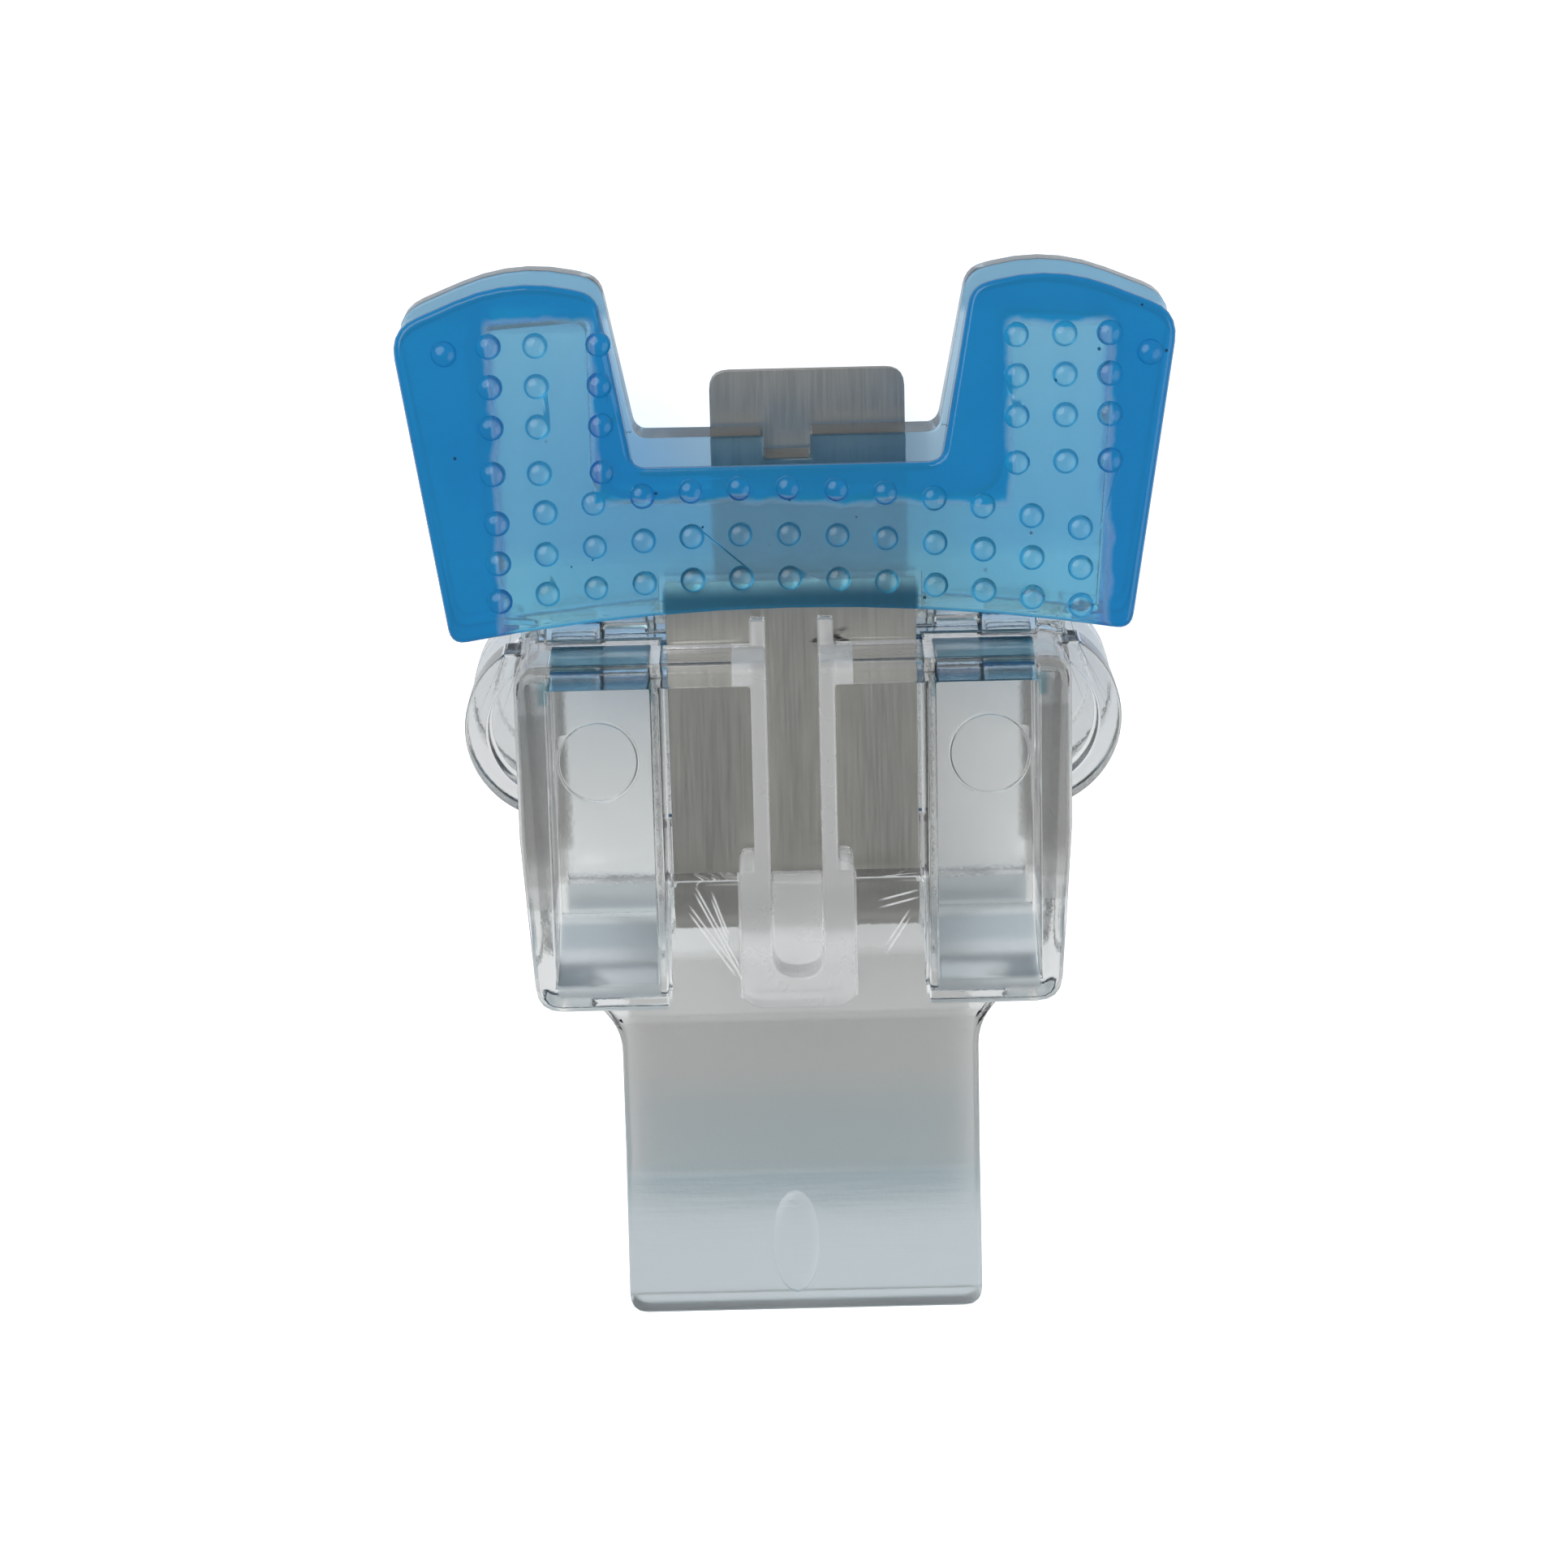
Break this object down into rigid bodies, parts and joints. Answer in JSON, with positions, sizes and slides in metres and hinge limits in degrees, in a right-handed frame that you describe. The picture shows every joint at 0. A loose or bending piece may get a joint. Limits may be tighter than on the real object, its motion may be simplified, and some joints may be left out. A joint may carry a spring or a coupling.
{
  "type": "clothespin",
  "caption": "Clear plastic two-lever spring clothespin with a soft blue nubbed grip on the forked front jaw, a steel strip spring and a hinge pin.",
  "frame": {"origin": "middle of the bounding box's bottom face, with the clip lying on its rear lever", "axes": "+X across the clip, +Y towards the jaw tips, +Z towards the front lever"},
  "size_m": [0.0386, 0.0532, 0.016],
  "materials": {
    "front_plastic": "clear moulded polycarbonate, lightly scuffed",
    "rear_plastic": "clear moulded polycarbonate, lightly scuffed",
    "blue_rubber": "translucent soft thermoplastic rubber, satin",
    "spring_steel": "rolled stainless strip, satin with a fine lengthwise grain",
    "polished_steel": "polished drawn wire"
  },
  "bodies": {
    "rear_lever": {"rear_half": "rear_plastic", "u_spring": "spring_steel", "pivot_pin": "polished_steel"},
    "front_lever": {"front_half": "front_plastic", "grip_boot": "blue_rubber"}
  },
  "joints": [
    {"name": "jaw_hinge", "type": "hinge", "parent": "rear_lever", "child": "front_lever", "pos_m": [0, 0.00727, 0.008], "axis": [1, 0, 0], "range_deg": [0, 18], "stiffness_Nm_per_rad": 0.05, "springref_deg": -45.84, "deforming": ["u_spring"]}
  ]
}
